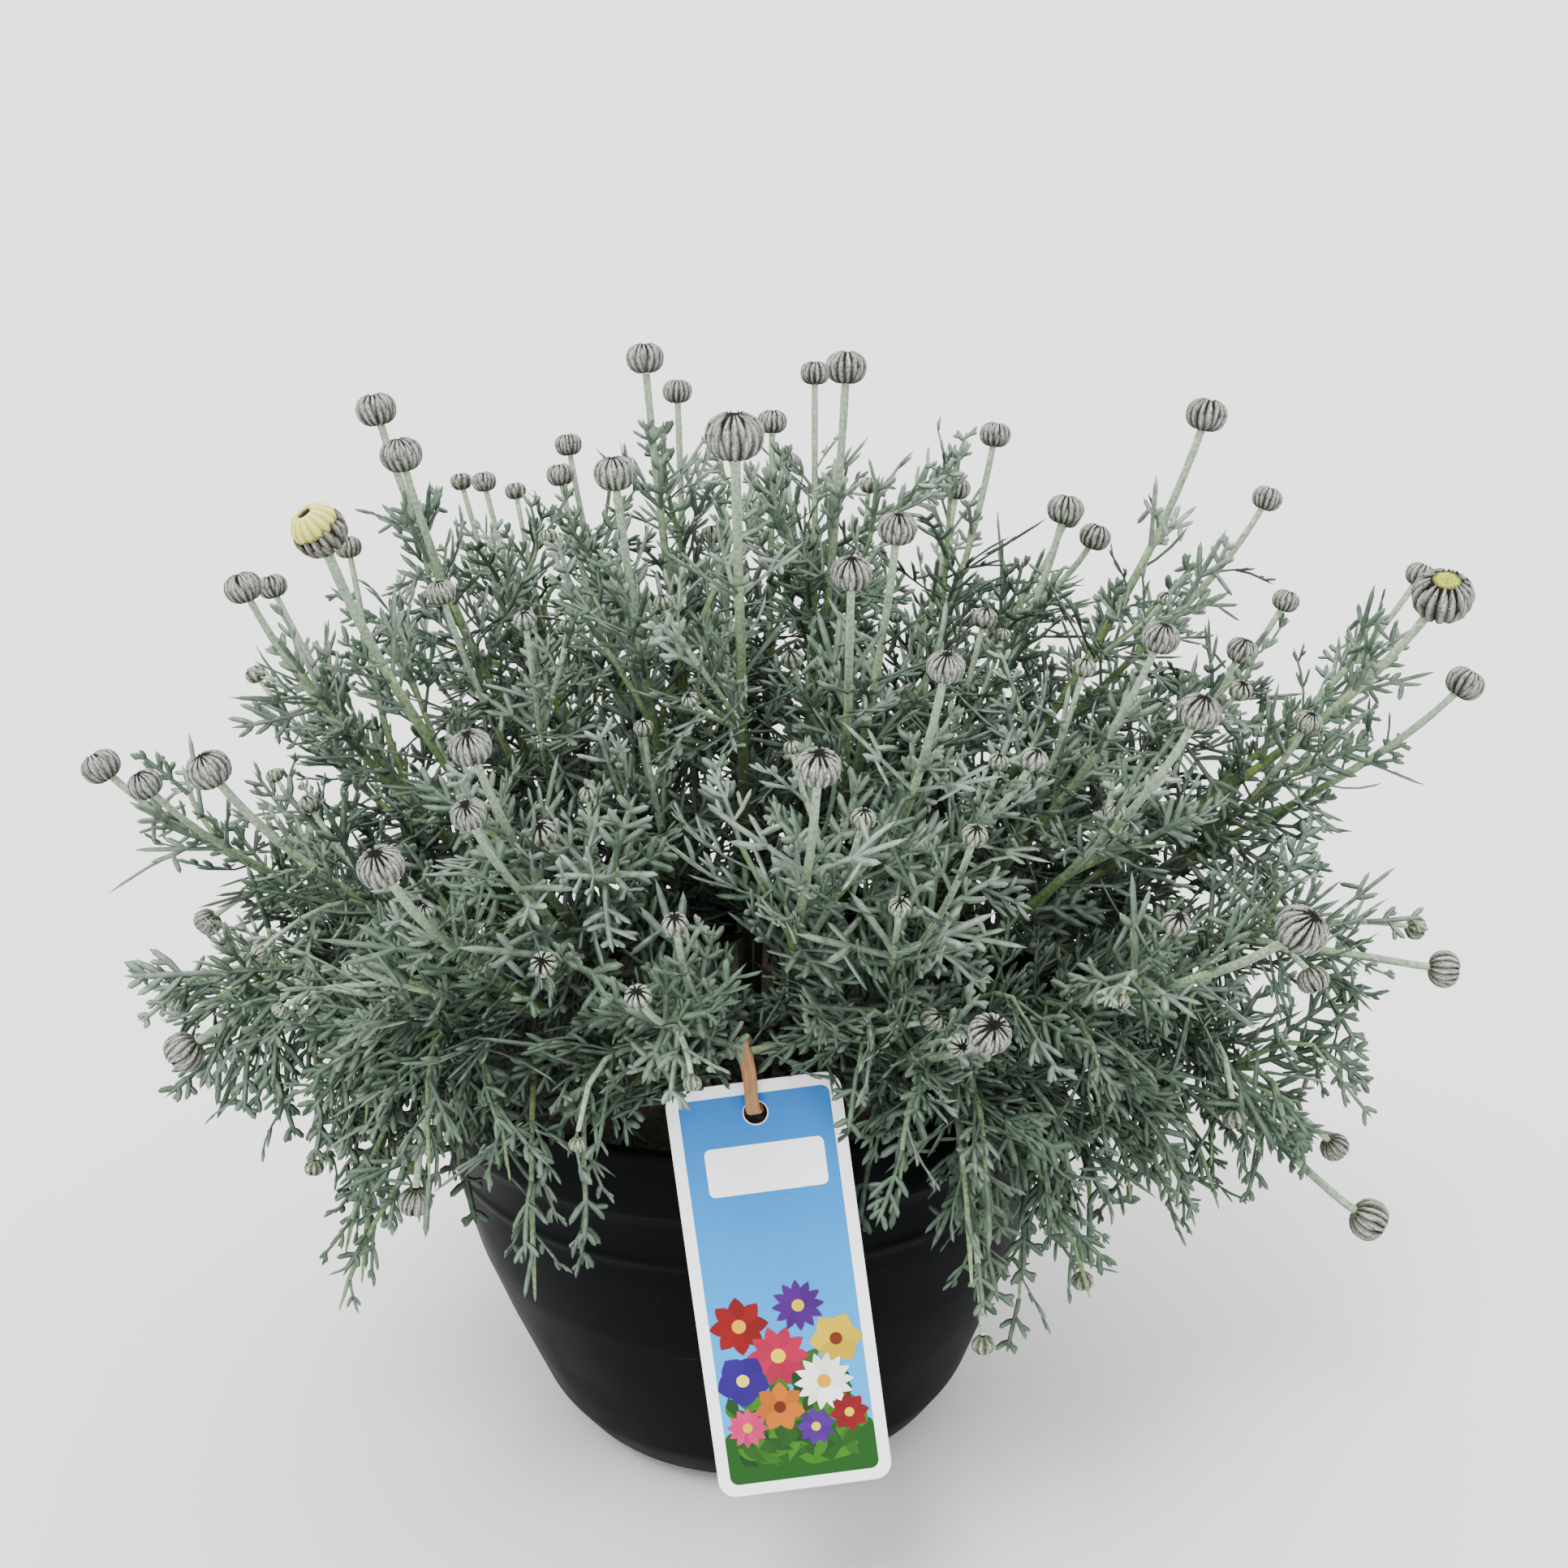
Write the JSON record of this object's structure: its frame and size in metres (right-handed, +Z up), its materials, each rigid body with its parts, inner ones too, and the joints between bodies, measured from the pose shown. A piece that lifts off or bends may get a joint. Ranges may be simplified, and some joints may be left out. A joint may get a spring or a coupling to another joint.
{
  "type": "potted rhodanthemum",
  "caption": "Budding rhodanthemum with finely cut grey-green leaves in a black bowl-shaped pot, with a hanging label.",
  "frame": {"origin": "middle of the pot's flat underside, on the surface it stands on", "axes": "+Z up along the pot's axis, -Y towards the side that carries the hanging label, +X to the right of it"},
  "size_m": [0.4752, 0.3734, 0.3709],
  "materials": {
    "pot_plastic": "matte",
    "peat": "rough",
    "foliage": "felted",
    "ray_florets": "matte",
    "label_card": "satin",
    "raffia": "rough"
  },
  "bodies": {
    "root": {"pot": "pot_plastic", "soil": "peat", "tag": "label_card", "tag_tie": "raffia", "spray_01": "foliage", "spray_02": "foliage", "spray_03": "foliage", "spray_04": "foliage", "spray_05": "foliage", "spray_06": "foliage", "spray_07": "foliage", "spray_08": "foliage", "spray_09": "foliage", "spray_10": "foliage", "spray_11": "foliage", "spray_12": "foliage", "spray_13": "foliage", "opening_rays": "ray_florets", "spray_14": "foliage", "spray_15": "foliage", "spray_16": "foliage", "spray_17": "foliage", "spray_18": "foliage", "spray_19": "foliage", "spray_20": "foliage", "spray_21": "foliage", "spray_22": "foliage", "spray_23": "foliage", "spray_24": "foliage", "spray_25": "foliage", "spray_26": "foliage", "spray_27": "foliage", "spray_28": "foliage", "spray_29": "foliage", "spray_30": "foliage", "spray_31": "foliage", "spray_32": "foliage", "spray_33": "foliage", "spray_34": "foliage", "spray_35": "foliage", "spray_36": "foliage", "spray_37": "foliage", "spray_38": "foliage", "spray_39": "foliage", "spray_40": "foliage", "spray_41": "foliage", "spray_42": "foliage", "spray_43": "foliage", "spray_44": "foliage", "spray_45": "foliage", "spray_46": "foliage", "spray_47": "foliage"}
  },
  "joints": []
}
